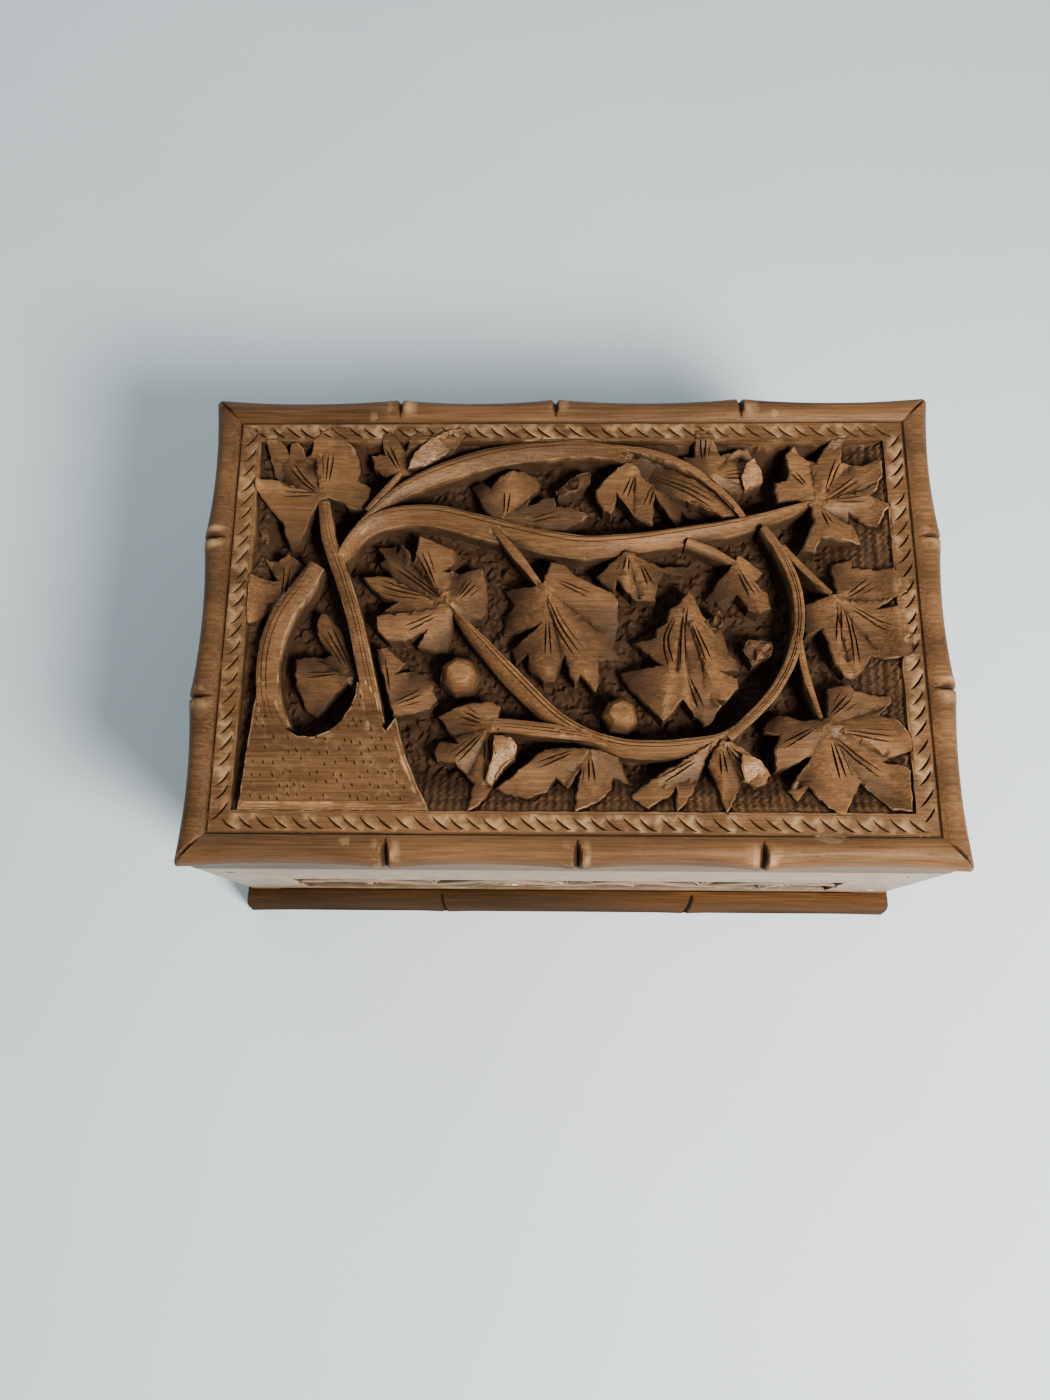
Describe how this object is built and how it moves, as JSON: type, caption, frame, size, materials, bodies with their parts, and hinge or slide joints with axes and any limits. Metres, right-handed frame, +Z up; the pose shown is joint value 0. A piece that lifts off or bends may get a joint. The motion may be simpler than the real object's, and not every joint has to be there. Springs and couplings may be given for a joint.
{
  "type": "carved wooden box",
  "caption": "Carved walnut keepsake box with a hinged lid, a bamboo-carved edge, deep leaf and vine relief on the lid and a flared plinth.",
  "frame": {"origin": "on the floor, under the middle of the box", "axes": "+X along the front to the right, +Y to the back where the hinges are, +Z up"},
  "size_m": [0.1584, 0.1064, 0.073],
  "materials": {
    "walnut": "hand-carved walnut, satin polish",
    "board": "planed walnut, unpolished",
    "filler": "pale wood filler",
    "brass": "aged brass",
    "steel": "dull steel"
  },
  "bodies": {
    "box": {"front_wall": "walnut", "back_wall": "walnut", "left_wall": "walnut", "right_wall": "walnut", "bottom_board": "board", "plinth_front": "walnut", "plinth_back": "walnut", "plinth_left": "walnut", "plinth_right": "walnut", "hinge_left_body_leaf": "brass", "hinge_left_pin": "brass", "hinge_right_body_leaf": "brass", "hinge_right_pin": "brass", "body_hinge_screws": "brass", "corner_pins": "steel", "bottom_nails": "steel", "plinth_pins": "steel"},
    "lid": {"lid_panel": "walnut", "lid_plugs": "filler", "hinge_left_lid_leaf": "brass", "hinge_right_lid_leaf": "brass", "lid_hinge_screws": "brass"}
  },
  "joints": [
    {"name": "lid_hinge", "type": "hinge", "parent": "box", "child": "lid", "pos_m": [0, 0.0461, 0.05885], "axis": [-1, 0, 0], "range_deg": [0, 100]}
  ]
}
